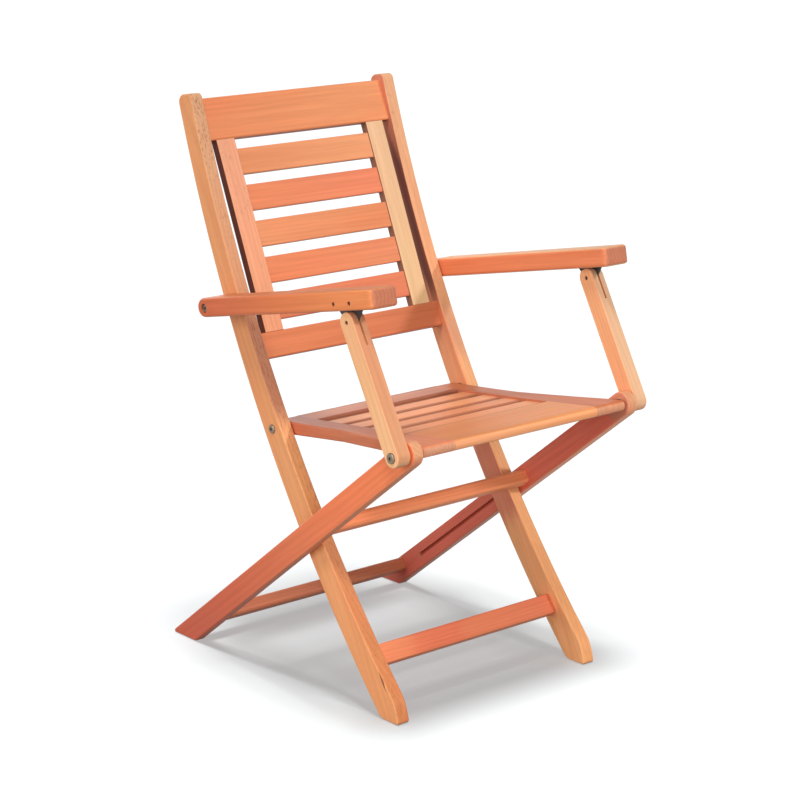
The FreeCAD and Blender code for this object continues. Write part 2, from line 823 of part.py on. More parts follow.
def make_pin(label, side, near, far, point, radius):
    body = axle(label, side, near, point)
    round_bar(body, "Additive", 0, far - near, radius)
    return body


def make_bolt(label, side, near, head, point, head_radius):
    """Bolt with a low domed head and a six-sided socket, from its end to the underside of its head."""
    body = axle(label, side, near, point)
    length = head - near
    top = length + size("bolt_head_height")
    round_bar(body, "Additive", 0, length, "dims.bolt_radius")
    bolt = round_bar(body, "Additive", length, size("bolt_head_height"), head_radius)
    soften(body, bolt, lambda edge: edge.BoundBox.ZMin > top - 0.001, "dims.bolt_head_dome")
    socket = body.newObject("PartDesign::SubtractivePrism", label + "_socket")
    socket.Polygon = 6
    socket.setExpression("Circumradius", "dims.socket_radius")
    socket.setExpression("Height", "dims.socket_depth")
    socket.Placement = at(0, 0, top - size("socket_depth"))
    doc.recompute()
    return body


def make_washer(label, side, near, far, point):
    body = axle(label, side, near, point)
    round_bar(body, "Additive", 0, far - near, "dims.washer_radius")
    round_bar(body, "Subtractive", 0, far - near, "dims.bolt_radius")
    return body


def group(label, pieces):
    """Identical fasteners as one piece of several solids."""
    compound = doc.addObject("Part::Compound", label)
    compound.Label = label
    compound.Links = pieces
    doc.recompute()
    return keep(compound)


def make_fasteners():
    gap = size("body_clearance")
    both = SIDES.items()
    group("seat_pivot_bolts", [
        make_bolt(
            f"seat_bolt_{name}", side, seat_rail_outer - size("bolt_embed"), stile_outer, seat_pivot,
            "dims.seat_bolt_head_radius",
        )
        for name, side in both
    ])
    group("front_pivot_bolts", [
        make_bolt(
            f"front_bolt_{name}", side, seat_front_outer - size("bolt_embed"), post_outer + gap, front_pivot,
            "dims.front_bolt_head_radius",
        )
        for name, side in both
    ])
    group("arm_pivot_bolts", [
        make_bolt(
            f"arm_bolt_{name}", side, stile_outer - size("arm_bolt_embed"),
            arm_outer - size("counterbore_depth") + gap, arm_pivot, "dims.arm_bolt_head_radius",
        )
        for name, side in both
    ])
    group("guide_pins", [
        make_pin(
            f"guide_pin_{name}", side, stile_outer - size("guide_pin_embed"), leg_inner - gap, guide_point,
            "dims.guide_pin_radius",
        )
        for name, side in both
    ])
    for label, near, far, point in (
        ("seat_pivot_washers", seat_rail_outer + gap, size("stile_inner_half"), seat_pivot),
        ("front_pivot_washers", seat_front_outer, leg_inner - gap, front_pivot),
        ("post_washers", leg_outer + gap, post_inner - gap, front_pivot),
        ("arm_pivot_washers", stile_outer, arm_inner - gap, arm_pivot),
    ):
        group(label, [make_washer(f"{label}_{name}", side, near, far, point) for name, side in both])


def make_arm_pins(name, side):
    pins = []
    for index, spot in enumerate(plate_pin_spots):
        place = arm_frame.multVec(FreeCAD.Vector(0, *spot))
        pins.append(
            make_pin(
                f"{name}_plate_pin_{index}", side, plate_pin_inner, arm_outer - size("pin_recess"),
                (place.y, place.z), "dims.plate_pin_radius",
            )
        )
    group(f"{name}_plate_pins", pins)
    near = post_inner + size("pin_recess")
    far = post_outer - size("pin_recess")
    keep(make_pin(f"{name}_hinge_pin", side, near, far, arm_hinge, "dims.hinge_pin_radius"))


make_back()
make_seat_slats()
make_leg_stretchers()
make_fasteners()
for name, side in SIDES.items():
    make_stile(name, side)
    make_seat_rail(name, side)
    make_leg(name, side)
    make_post(name, side)
    make_arm(name, side)
    make_hinge_plate(name, side)
    make_arm_pins(name, side)

doc.recompute()
for piece in doc.Objects:
    if "Invalid" in piece.State or "Error" in piece.State:
        raise RuntimeError(f"{piece.Label} did not build: {piece.State}")
os.makedirs("parts", exist_ok=True)
for label, piece in nodes.items():
    if piece.Shape.isNull() or not piece.Shape.isValid():
        raise RuntimeError(f"{label} has no valid shape")
    piece.Shape.exportStep(f"parts/{label}.step")
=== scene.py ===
# %% [markdown]
# # A folding wooden armchair
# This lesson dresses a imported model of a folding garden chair. The boards, bolts and hinges already have
# their real shapes and places, so the work here is light, a camera and finishes that look like oiled wood
# and plain steel. Every cell makes one thing and prints what it made.

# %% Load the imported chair
import math
import bpy
from mathutils import Matrix, Vector

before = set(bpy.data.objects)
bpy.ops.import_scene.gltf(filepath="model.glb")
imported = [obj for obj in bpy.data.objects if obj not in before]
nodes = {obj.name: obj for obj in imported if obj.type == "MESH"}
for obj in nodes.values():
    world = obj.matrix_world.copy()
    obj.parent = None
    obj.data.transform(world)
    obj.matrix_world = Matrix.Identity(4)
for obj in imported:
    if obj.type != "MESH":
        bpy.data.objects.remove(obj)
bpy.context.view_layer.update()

# %% [markdown]
# ## The camera
# The chair was seen from its front right, a little above the seat, through a long lens. A camera is three
# directions and a place. Here they are written as a turn round the chair, a height angle and a small tilt
# of the frame, and the matrix is put together from them, so the view can be changed one angle at a time.

# %% Camera
AZIMUTH = math.radians(-41.12)
ELEVATION = math.radians(15.17)
ROLL = math.radians(0.64)
LENS_MM = 110.2
SENSOR_MM = 36.0
CAMERA_PLACE = Vector((-2.4669, -2.8264, 1.4392))


def toward(azimuth, elevation):
    """Direction from the chair to a place at an angle round it and an angle above the floor."""
    level = math.cos(elevation)
    return Vector((math.sin(azimuth) * level, -math.cos(azimuth) * level, math.sin(elevation)))


backward = toward(AZIMUTH, ELEVATION)
level_right = Vector((math.cos(AZIMUTH), math.sin(AZIMUTH), 0.0))
level_up = backward.cross(level_right)
right = math.cos(ROLL) * level_right + math.sin(ROLL) * level_up
up = -math.sin(ROLL) * level_right + math.cos(ROLL) * level_up

camera_data = bpy.data.cameras.new("camera")
camera_data.lens = LENS_MM
camera_data.sensor_width = SENSOR_MM
camera = bpy.data.objects.new("camera", camera_data)
bpy.context.scene.collection.objects.link(camera)
camera_turn = Matrix((right, up, backward)).transposed().to_4x4()
camera.matrix_world = Matrix.Translation(CAMERA_PLACE) @ camera_turn
bpy.context.scene.camera = camera
print("camera", tuple(round(v, 3) for v in camera.location), "lens", LENS_MM)

# %% [markdown]
# ## Building a material from nodes
# All finishes in this lesson are small node trees. One helper adds a node, sets its plain values and joins
# its inputs, which keeps each finish short enough to read in one go.

# %% Node helper
def blank_material(name):
    """New material with an empty node tree."""
    material = bpy.data.materials.new(name)
    material.use_nodes = True
    material.node_tree.nodes.clear()
    return material


def add_node(tree, kind, settings=None, **inputs):
    """Node of a kind. A socket given as an input is joined, and anything else is set as its value."""
    node = tree.nodes.new(kind)
    for key, value in (settings or {}).items():
        setattr(node, key, value)
    for key, value in inputs.items():
        socket = node.inputs[int(key[1:])] if key[0] == "_" else node.inputs[key.replace("_", " ")]
        if isinstance(value, bpy.types.NodeSocket):
            tree.links.new(value, socket)
        else:
            socket.default_value = value
    return node


print("node helper ready")

# %% [markdown]
# ## The few kinds of node
# A finish needs the same few nodes again and again: sums, sums on vectors, a ramp that spreads a value
# smoothly, and a mix of two colours. A line for each of them reads like a formula, and the tree grows
# behind it.

# %% Kinds of node
def math_node(tree, operation, *values):
    """Result of an operation on single values."""
    inputs = {f"_{index}": value for index, value in enumerate(values)}
    return add_node(tree, "ShaderNodeMath", {"operation": operation}, **inputs).outputs[0]


def vector_node(tree, operation, *values):
    """Result of an operation on vectors. The length of a vector is a single value."""
    inputs = {f"_{index}": value for index, value in enumerate(values)}
    result = add_node(tree, "ShaderNodeVectorMath", {"operation": operation}, **inputs).outputs
    return result["Value"] if operation == "LENGTH" else result[0]


def parts(tree, vector):
    """The three values of a vector."""
    return add_node(tree, "ShaderNodeSeparateXYZ", _0=vector).outputs


def ramp(tree, value, low, high, bottom=0.0, top=1.0):
    """A value between low and high, spread smoothly from bottom to top."""
    spread = add_node(
        tree, "ShaderNodeMapRange", {"interpolation_type": "SMOOTHSTEP"},
        _0=value, _1=low, _2=high, _3=bottom, _4=top,
    )
    return spread.outputs[0]


def mix_colour(tree, factor, first, second, blend="MIX"):
    """Two colours mixed by a factor."""
    settings = {"data_type": "RGBA", "blend_type": blend}
    return add_node(tree, "ShaderNodeMix", settings, _0=factor, _6=first, _7=second).outputs[2]


print("kinds of node ready")

# %% [markdown]
# ## Floor
# The chair stands on a plain white sweep that keeps only its shadow. To the camera the floor is white, with
# a little glow of its own, so that it reaches white without more light on the chair. To the light that
# bounces off it the floor is a dark grey, as a floor at the edge of a studio sweep would be, and that keeps
# the undersides of the boards dark.

# %% Floor
FLOOR_HALF = 30.0
FLOOR_DROP = 0.0004
FLOOR_WHITE = (0.37, 0.39, 0.395, 1.0)
FLOOR_GREY = (0.175, 0.175, 0.175, 1.0)
FLOOR_GLOW = 0.41


def seen_directly(tree):
    """1 for camera, mirror and see-through rays, and 0 for the light that falls on things."""
    path = tree.nodes.new("ShaderNodeLightPath")
    seen = math_node(tree, "MAXIMUM", path.outputs["Is Camera Ray"], path.outputs["Is Glossy Ray"])
    return math_node(tree, "MAXIMUM", seen, path.outputs["Is Transmission Ray"])


floor_mesh = bpy.data.meshes.new("studio_floor")
square = ((-1, -1), (1, -1), (1, 1), (-1, 1))
corners = [(x * FLOOR_HALF, y * FLOOR_HALF, -FLOOR_DROP) for x, y in square]
floor_mesh.from_pydata(corners, [], [(0, 1, 2, 3)])
floor = bpy.data.objects.new("studio_floor", floor_mesh)
bpy.context.scene.collection.objects.link(floor)

floor_paint = blank_material("floor_paint")
tree = floor_paint.node_tree
white = add_node(tree, "ShaderNodeBsdfDiffuse", Color=FLOOR_WHITE).outputs[0]
grey = add_node(tree, "ShaderNodeBsdfDiffuse", Color=FLOOR_GREY).outputs[0]
glow = add_node(tree, "ShaderNodeEmission", Strength=FLOOR_GLOW).outputs[0]
seen_floor = add_node(tree, "ShaderNodeAddShader", _0=white, _1=glow).outputs[0]
either = add_node(tree, "ShaderNodeMixShader", _0=seen_directly(tree), _1=grey, _2=seen_floor)
add_node(tree, "ShaderNodeOutputMaterial", Surface=either.outputs[0])
floor_mesh.materials.append(floor_paint)
print("floor", 2 * FLOOR_HALF, "m wide")

# %% [markdown]
# ## Background
# Behind the chair there is nothing but white. The background is white to the camera and to shiny metal, and
# dim to everything else, so that it fills the deepest shadows a little and leaves the modelling of the
# boards to the lamps.

# %% World
SKY_LIGHT = 0.12

world = bpy.data.worlds.new("studio")
world.use_nodes = True
bpy.context.scene.world = world
tree = world.node_tree
tree.nodes.clear()
strength = ramp(tree, seen_directly(tree), 0.0, 1.0, SKY_LIGHT, 1.0)
sky = add_node(tree, "ShaderNodeBackground", Color=(1.0, 1.0, 1.0, 1.0), Strength=strength)
add_node(tree, "ShaderNodeOutputWorld", Surface=sky.outputs[0])
bpy.context.scene.view_settings.view_transform = "Standard"
print("sky light", SKY_LIGHT)

# %% [markdown]
# ## Soft lamps
# In a studio each lamp has one job, and flags keep its light off everything else. One wide lamp overhead
# makes the soft pool of shadow on the floor. Five others light only the chair: one from high on the left of
# the picture, a firmer one from the front right that lets the far arm throw its shadow on the back, a low
# one from the front that reaches under the seat, one from the left for the sides of the boards, and a weak
# one from behind. Sun lamps do this evenly, where an area lamp would leave a bright spot, and light linking
# does the work of the flags.

# %% Lamps
LAMPS = (
    # name, degrees round the chair, degrees above the floor, strength, spread in degrees, for the floor
    ("floor_lamp", -20, 86, 5.2, 16, True),
    ("top_left_lamp", -70, 66, 1.25, 16, False),
    ("front_right_lamp", 28, 31, 1.15, 5, False),
    ("low_front_lamp", -20, 12, 1.25, 40, False),
    ("left_lamp", -95, 9, 1.85, 44, False),
    ("back_lamp", 160, 8, 0.9, 40, False),
)


def soft_sun(name, azimuth, elevation, strength, spread, for_floor):
    """Sun lamp from a direction, which lights the floor alone or everything but the floor."""
    data = bpy.data.lights.new(name, "SUN")
    data.energy = strength
    data.angle = math.radians(spread)
    lamp = bpy.data.objects.new(name, data)
    source = toward(math.radians(azimuth), math.radians(elevation))
    lamp.rotation_mode = "QUATERNION"
    lamp.rotation_quaternion = source.to_track_quat("Z", "Y")
    bpy.context.scene.collection.objects.link(lamp)
    flags = bpy.data.collections.new(f"{name}_flags")
    flags.objects.link(floor)
    lamp.light_linking.receiver_collection = flags
    flags.collection_objects[0].light_linking.link_state = "INCLUDE" if for_floor else "EXCLUDE"


for lamp_row in LAMPS:
    soft_sun(*lamp_row)
print("lamps:", len(LAMPS), "of them for the floor:", sum(lamp_row[-1] for lamp_row in LAMPS))

# %% [markdown]
# ## Which way the grain runs
# Grain follows the length of a board, so each board needs its own three directions: two across it and one
# along it. A side board leans in the side view, and a cross board lies from right to left. Written as the
# rows of a matrix, the directions turn a place on the chair into a place on a board that stands upright, and
# every pattern can then be drawn on that one upright board.

# %% Board directions
STILE_LEAN = 29.0
BACK_LEAN = 23.45


def side_board(lean):
    """Directions of a board in the side view that leans to the rear by some degrees."""
    a = math.radians(lean)
    return Matrix(((1, 0, 0), (0, math.cos(a), -math.sin(a)), (0, math.sin(a), math.cos(a))))


def cross_board(lean):
    """Directions of a board that runs across the chair and leans to the rear by some degrees."""
    a = math.radians(lean)
    return Matrix(((0, math.cos(a), -math.sin(a)), (0, math.sin(a), math.cos(a)), (1, 0, 0)))


def board_box(node, directions):
    """Lowest and highest corner of a node's mesh in board space."""
    spots = [directions @ vertex.co for vertex in node.data.vertices]
    return Vector(map(min, zip(*spots))), Vector(map(max, zip(*spots)))


upright = side_board(STILE_LEAN)
in_back = cross_board(BACK_LEAN)
along_back = side_board(BACK_LEAN)
for name, directions in (("right_stile", upright), ("crest_rail", in_back)):
    low, high = board_box(nodes[name], directions)
    print(name, "is", round(high.z - low.z, 3), "m long")

# %% [markdown]
# ## Patterns in the wood
# Oiled hardwood has slow blotches of rose and yellow, faint streaks, fine fibres and short dark pores. They
# could be painted, but each is only noise drawn out along the grain, coarse or fine. One helper draws them
# all, and a table says how many features each has in a metre across and along the board. The last row isn't
# seen itself: it lets the growth rings wander.

# %% Wood patterns
GRAIN = {
    "blotches": dict(across=15.0, along=3.4, detail=3.0, roughness=0.55, distortion=0.4),
    "streaks": dict(across=70.0, along=2.6, detail=4.0, roughness=0.6, distortion=0.5),
    "fibres": dict(across=430.0, along=13.0, detail=3.0, roughness=0.6, distortion=0.0),
    "pores": dict(across=640.0, along=95.0, detail=1.0, roughness=0.5, distortion=0.0),
    "wander": dict(across=12.0, along=2.0, detail=2.0, roughness=0.5, distortion=0.0),
}


def stretched_noise(tree, space, across, along, detail, roughness, distortion):
    """Noise drawn out along the grain: features per metre across and along the board."""
    scaled = vector_node(tree, "MULTIPLY", space, (across, across, along))
    noise = add_node(
        tree, "ShaderNodeTexNoise", {"noise_dimensions": "3D"}, Vector=scaled, Scale=1.0,
        Detail=detail, Roughness=roughness, Distortion=distortion,
    )
    return noise.outputs["Fac"]


print("patterns:", ", ".join(GRAIN))

# %% [markdown]
# ## Growth rings
# A tree grows in rings round its heart, and a board is cut from beside the heart. So the rings on a board
# are circles round a line next to it, and they show as arcs on its ends and as long flames on its faces. The
# trunk tapers, which is why the flames close. A sine of the distance from the heart gives them all at once,
# and the board's own shape does the cutting.

# %% Growth rings
RING_SPACING = 0.0062
RING_TAPER = 0.05
RING_WANDER = 11.0


def growth_rings(tree, board, heart, wander):
    """A wave from 0 to 1 over the rings round the heart, which wander a little from true circles."""
    from_heart = vector_node(tree, "SUBTRACT", board, heart)
    radius = vector_node(tree, "LENGTH", vector_node(tree, "MULTIPLY", from_heart, (1.0, 1.0, RING_TAPER)))
    turns = math_node(tree, "MULTIPLY", radius, math.tau / RING_SPACING)
    wave = math_node(tree, "SINE", math_node(tree, "MULTIPLY_ADD", wander, RING_WANDER, turns))
    return math_node(tree, "MULTIPLY_ADD", wave, 0.5, 0.5)


print("rings", RING_SPACING * 1000, "mm apart")

# %% [markdown]
# ## Faces and ends of a board
# A face cut across the growth rings shows other fibres than one cut along them, so the two pairs of long
# faces of a board differ in tone, and the open fibres at its ends are darker again. The direction of the
# surface in board space tells them apart. Each pair of faces has two tones, for the lower and the upper end
# of the board, because the colour drifts along it.

# %% Faces of a board
def board_faces(tree, directions, shift):
    """Place on the upright board, the place shifted, squareness to each face, and rise of the surface."""
    coordinates = tree.nodes.new("ShaderNodeTexCoord").outputs
    turn = directions.to_euler()
    board = add_node(tree, "ShaderNodeMapping", Vector=coordinates["Object"], Rotation=turn).outputs[0]
    space = vector_node(tree, "ADD", board, shift)
    as_direction = {"vector_type": "VECTOR"}
    normal = coordinates["Normal"]
    facing = add_node(tree, "ShaderNodeMapping", as_direction, Vector=normal, Rotation=turn).outputs[0]
    return board, space, parts(tree, vector_node(tree, "ABSOLUTE", facing)), parts(tree, normal)[2]


def face_colour(tree, tones, upper, first, second, along):
    """Colour of both pairs of long faces, from the lower to the upper end, and of the end grain."""
    *pairs, end_tone = tones
    faces = [mix_colour(tree, upper, (*low, 1.0), (*high, 1.0)) for low, high in pairs]
    turned = ramp(tree, math_node(tree, "SUBTRACT", second, first), -0.25, 0.25)
    end_grain = ramp(tree, along, 0.60, 0.92)
    return mix_colour(tree, end_grain, mix_colour(tree, turned, *faces), (*end_tone, 1.0))


print("faces of a board ready")

# %% [markdown]
# ## Tints of the grain
# Grain changes a board's tone by a few parts in a hundred, and always by multiplying, so that the same
# pattern suits a pale board and a red one. Each pattern has a tint for its low and one for its high values.
# The rings are drawn a little deeper on the ends, where the fibres lie open.

# %% Grain tints
ROSE_BLOTCH, YELLOW_BLOTCH = (1.02, 0.965, 0.96), (0.985, 1.035, 1.04)
DARK_STREAK, PALE_STREAK = (0.955, 0.935, 0.92), (1.035, 1.05, 1.055)
PALE_RING, DARK_RING = (1.02, 1.02, 1.02), (0.78, 0.66, 0.60)
DARK_FIBRE, PALE_FIBRE = (0.95, 0.94, 0.93), (1.04, 1.05, 1.05)
RINGS_ON_FACES, RINGS_ON_ENDS = 0.25, 0.34


def shaded(tree, colour, pattern, low_tint, high_tint):
    """A colour multiplied by a tint that goes from one to the other with a pattern."""
    tint = mix_colour(tree, pattern, (*low_tint, 1.0), (*high_tint, 1.0))
    return mix_colour(tree, 1.0, colour, tint, "MULTIPLY")


def grained(tree, colour, grain, along):
    """A board's colour with its blotches, streaks, rings and fibres."""
    colour = shaded(tree, colour, ramp(tree, grain["blotches"], 0.30, 0.70), ROSE_BLOTCH, YELLOW_BLOTCH)
    colour = shaded(tree, colour, ramp(tree, grain["streaks"], 0.30, 0.70), DARK_STREAK, PALE_STREAK)
    ring_depth = ramp(tree, along, 0.5, 0.9, RINGS_ON_FACES, RINGS_ON_ENDS)
    ring_depth = math_node(tree, "MULTIPLY", grain["rings"], ring_depth)
    colour = shaded(tree, colour, ring_depth, PALE_RING, DARK_RING)
    return shaded(tree, colour, ramp(tree, grain["fibres"], 0.25, 0.75), DARK_FIBRE, PALE_FIBRE)


print("grain tints ready")

# %% [markdown]
# ## Open pores
# Pores are the cut vessels of the wood. Planing leaves them as short dark flecks in patches, most of all on
# the front and rear faces of a stile or post, toward its upper end. They are the same stretched noise, cut
# off high so that only its peaks are left, and a board with deeper pores has wider flecks too.

# %% Pores
PORE_TINT = (0.45, 0.35, 0.32)
PORE_CUT, PORE_WIDENING, PORE_EDGE = 0.72, 0.16, 0.10


def open_pores(tree, grain, pore_depth, upper, second):
    """Flecks from 0 to 1 where pores lie open, mostly on the second faces and toward the upper end."""
    on_second = ramp(tree, second, 0.3, 0.9, 0.35, 1.0)
    open_side = math_node(tree, "MULTIPLY", on_second, ramp(tree, upper, 0.3, 1.0, 0.45, 1.0))
    patches = ramp(tree, grain["blotches"], 0.36, 0.60, 0.05, pore_depth)
    patches = math_node(tree, "MULTIPLY", patches, open_side)
    cut = PORE_CUT - PORE_WIDENING * pore_depth
    return math_node(tree, "MULTIPLY", ramp(tree, grain["pores"], cut, cut + PORE_EDGE), patches)


print("pores ready")

# %% [markdown]
# ## Marks of use and painted shade
# A chair that has stood outdoors has places of another colour: a split at a foot, a paler patch. Other marks
# here are painted shade where a shadow falls on the real chair, and one is painted light where the lamps of
# this scene fall short. Each mark is a soft oval on one pair of faces, given by its centre on the chair, its
# reach on the board and a tint. The streaks make its edge ragged, because a stain runs along the fibres.

# %% Marks
NO_TINT = (1.0, 1.0, 1.0)
RAGGED_EDGE = 0.8


def marked_and_shaded(tree, colour, marks, directions, board, streaks, squareness):
    """A board's colour with its marks, among them painted shade and painted light."""
    for face, centre, reach, tint in marks:
        away = vector_node(tree, "SUBTRACT", board, directions @ Vector(centre))
        distance = vector_node(tree, "LENGTH", vector_node(tree, "DIVIDE", away, reach))
        ragged = math_node(tree, "MULTIPLY_ADD", streaks, RAGGED_EDGE, distance)
        on_face = ramp(tree, squareness[face], 0.5, 0.9)
        inside = math_node(tree, "MULTIPLY", ramp(tree, ragged, 1.5, 1.0), on_face)
        colour = shaded(tree, colour, inside, NO_TINT, tint)
    return colour


print("marks ready")

# %% [markdown]
# ## Putting the wood together
# The finish of a board starts with the tones of its faces, and then come grain, pores and marks. Where no
# face is square to the surface lies a sanded arris, which is a little paler, partly from wear and partly as a
# painted highlight. A face that looks straight down is painted darker, as painted shade for the deep shade
# under the boards. The oil leaves a soft gloss, and fibres and pores give the surface a fine relief.

# %% Wood finish
ARRIS_WEAR_AND_HIGHLIGHT_TINT = (1.07, 1.10, 1.12)
UNDERSIDE_SHADE_TINT = (0.40, 0.28, 0.25)
RELIEF, RELIEF_DEPTH = 0.22, 0.0005
SMOOTH_OIL, ROUGH_OIL = 0.44, 0.58
OIL_SHINE = 0.22


def oiled_wood(name, tones, directions, ends, heart, shift, pore_depth, marks):
    """Finish of one board from its tones, directions, ends, heart, shift of its patterns, pores and marks."""
    material = blank_material(name)
    tree = material.node_tree
    board, space, (first, second, along), rise = board_faces(tree, directions, shift)
    upper = ramp(tree, parts(tree, board)[2], *ends)
    grain = {kind: stretched_noise(tree, space, **look) for kind, look in GRAIN.items()}
    grain["rings"] = growth_rings(tree, board, heart, grain["wander"])
    flecks = open_pores(tree, grain, pore_depth, upper, second)
    flattest = math_node(tree, "MAXIMUM", math_node(tree, "MAXIMUM", first, second), along)
    squareness = {"first": first, "second": second}

    colour = face_colour(tree, tones, upper, first, second, along)
    colour = grained(tree, colour, grain, along)
    colour = shaded(tree, colour, flecks, NO_TINT, PORE_TINT)
    # Paler arrises: partly wear, partly a painted highlight along the edges.
    colour = shaded(tree, colour, ramp(tree, flattest, 0.97, 0.78), NO_TINT, ARRIS_WEAR_AND_HIGHLIGHT_TINT)
    colour = marked_and_shaded(tree, colour, marks, directions, board, grain["streaks"], squareness)
    # Painted shade: faces that look straight down are darkened.
    colour = shaded(tree, colour, ramp(tree, rise, -0.80, -0.90), NO_TINT, UNDERSIDE_SHADE_TINT)

    height = math_node(tree, "SUBTRACT", math_node(tree, "MULTIPLY", grain["fibres"], 0.5), flecks)
    bump = add_node(tree, "ShaderNodeBump", Height=height, Strength=RELIEF, Distance=RELIEF_DEPTH)
    gloss = ramp(tree, grain["fibres"], 0.25, 0.75, SMOOTH_OIL, ROUGH_OIL)
    shader = add_node(
        tree, "ShaderNodeBsdfPrincipled", Base_Color=colour, Roughness=gloss, Normal=bump.outputs[0]
    )
    shader.inputs["Specular IOR Level"].default_value = OIL_SHINE
    add_node(tree, "ShaderNodeOutputMaterial", Surface=shader.outputs[0])
    return material


print("wood finish ready")

# %% [markdown]
# ## Tones of the back
# A maker takes boards as they come, so no two on this chair have the same colour. The stiles are honey, one
# slat post is rose and the other the palest of all, and the sides of both, which face narrow slots, are
# painted dark as painted shade. Each row gives the directions of a board, the tones of its first and of its
# second pair of long faces, and the tone of its end grain. The first tone of a pair is the lower end of a
# side board, and the right end of a cross board.

# %% Back frame
def both(tone):
    """The same tone at both ends of a board."""
    return (tone, tone)


RAIL_END = (0.45, 0.15, 0.07)
BOARDS = {
    "right_stile": (
        upright, ((0.849, 0.346, 0.14), (0.755, 0.322, 0.135)),
        ((0.682, 0.235, 0.085), (0.68, 0.34, 0.178)), (0.55, 0.22, 0.10),
    ),
    "left_stile": (
        upright, ((0.98, 0.46, 0.20), (0.662, 0.216, 0.121)),
        ((0.90, 0.41, 0.165), (0.78, 0.39, 0.205)), (0.58, 0.24, 0.11),
    ),
    # The first faces of both slat posts are their sides, painted dark as painted shade for the narrow slots.
    "right_slat_post": (
        along_back, both((0.15, 0.05, 0.036)),
        ((0.907, 0.38, 0.201), (0.791, 0.344, 0.197)), (0.5, 0.2, 0.11),
    ),
    "left_slat_post": (
        along_back, both((0.28, 0.12, 0.07)),
        ((0.781, 0.526, 0.281), (0.813, 0.491, 0.278)), (0.5, 0.3, 0.16),
    ),
    "crest_rail": (
        in_back, ((0.758, 0.247, 0.099), (0.805, 0.29, 0.123)), both((0.70, 0.26, 0.12)), RAIL_END,
    ),
    "lower_back_rail": (
        in_back, ((0.734, 0.233, 0.095), (0.577, 0.172, 0.073)), both((0.66, 0.20, 0.09)), RAIL_END,
    ),
}
print("boards of the back frame:", len(BOARDS))

# %% [markdown]
# ## Tones of the back slats
# From the top down the five slats change between tan and salmon, and the lowest is the reddest. They are
# cut from thin stock and share their directions, so a row needs only the tones of the right and the left
# end of the broad faces and the tone of the edges.

# %% Back slats
BACK_SLATS = (
    ((0.76, 0.268, 0.115), (0.809, 0.316, 0.142), (0.66, 0.26, 0.12)),
    ((0.788, 0.232, 0.102), (0.823, 0.234, 0.115), (0.68, 0.21, 0.10)),
    ((0.794, 0.29, 0.128), (0.75, 0.259, 0.107), (0.68, 0.25, 0.115)),
    ((0.809, 0.243, 0.102), (0.768, 0.261, 0.122), (0.68, 0.21, 0.10)),
    ((0.738, 0.212, 0.101), (0.73, 0.206, 0.099), (0.62, 0.185, 0.09)),
)
for number, (right_tone, left_tone, edge_tone) in enumerate(BACK_SLATS, 1):
    BOARDS[f"back_slat_{number}"] = (in_back, (right_tone, left_tone), both(edge_tone), RAIL_END)
print("back slats:", len(BACK_SLATS))

# %% [markdown]
# ## Tones of the seat
# The seat is a frame of two rails, a wide front slat and five narrow slats that are let into the rails. The
# rails are red and darker toward the rear. The narrow slats are nearly alike on top, apart from the rear
# one, and their edges are painted dark, as painted shade for the gaps between them.

# %% Seat
SEAT_PITCH = 6.65
in_seat = cross_board(SEAT_PITCH)
along_seat = side_board(SEAT_PITCH - 90)

BOARDS["right_seat_rail"] = (
    along_seat, ((0.60, 0.172, 0.082), (0.63, 0.197, 0.095)),
    ((0.46, 0.142, 0.07), (0.80, 0.265, 0.128)), (0.72, 0.33, 0.19),
)
BOARDS["left_seat_rail"] = (
    along_seat, both((0.60, 0.20, 0.11)),
    ((0.526, 0.158, 0.068), (0.596, 0.183, 0.071)), (0.72, 0.33, 0.18),
)
BOARDS["seat_front_slat"] = (
    in_seat, ((0.908, 0.373, 0.175), (0.98, 0.408, 0.175)),
    ((0.758, 0.277, 0.099), (0.819, 0.309, 0.106)), (0.45, 0.16, 0.08),
)
# Painted shade for the gaps between the narrow seat slats.
SLAT_EDGE_SHADE = (0.40, 0.14, 0.075)
SLAT_TOPS = (
    (0.58, 0.207, 0.10), (0.84, 0.338, 0.152), (0.88, 0.372, 0.168), (0.83, 0.33, 0.15), (0.88, 0.352, 0.156),
)
for number, top in enumerate(SLAT_TOPS, 1):
    BOARDS[f"seat_slat_{number}"] = (in_seat, both(SLAT_EDGE_SHADE), both(top), SLAT_EDGE_SHADE)
print("boards with the seat:", len(BOARDS))

# %% [markdown]
# ## Tones of the legs and stretchers
# The crossing legs are the reddest boards of the chair, orange at the head and deep red at the foot. Their
# grain runs along the slope, so the lower end in board space is the head. Two stretchers join the legs, and
# one joins the stiles at the front.

# %% Legs and stretchers
LEG_SLOPE = 38.5
FRONT_STRETCHER_LEAN = 40.0
STRETCHER_END = (0.5, 0.16, 0.08)
along_leg = side_board(LEG_SLOPE + 90)
between_legs = cross_board(LEG_SLOPE)

BOARDS["right_leg"] = (
    along_leg, ((0.92, 0.25, 0.10), (0.53, 0.106, 0.056)),
    ((0.74, 0.29, 0.15), (0.52, 0.14, 0.08)), (0.78, 0.38, 0.195),
)
BOARDS["left_leg"] = (
    along_leg, ((0.92, 0.212, 0.132), (0.52, 0.108, 0.07)),
    ((0.80, 0.34, 0.17), (0.56, 0.18, 0.10)), (0.74, 0.33, 0.17),
)
BOARDS["mid_stretcher"] = (
    between_legs, both((0.90, 0.275, 0.115)), both((0.92, 0.31, 0.135)), STRETCHER_END,
)
BOARDS["rear_stretcher"] = (
    between_legs, both((0.56, 0.17, 0.085)), both((0.62, 0.19, 0.095)), STRETCHER_END,
)
BOARDS["front_stretcher"] = (
    cross_board(FRONT_STRETCHER_LEAN), ((0.86, 0.27, 0.12), (0.82, 0.20, 0.092)),
    both((0.72, 0.23, 0.108)), STRETCHER_END,
)
print("boards with the legs:", len(BOARDS))

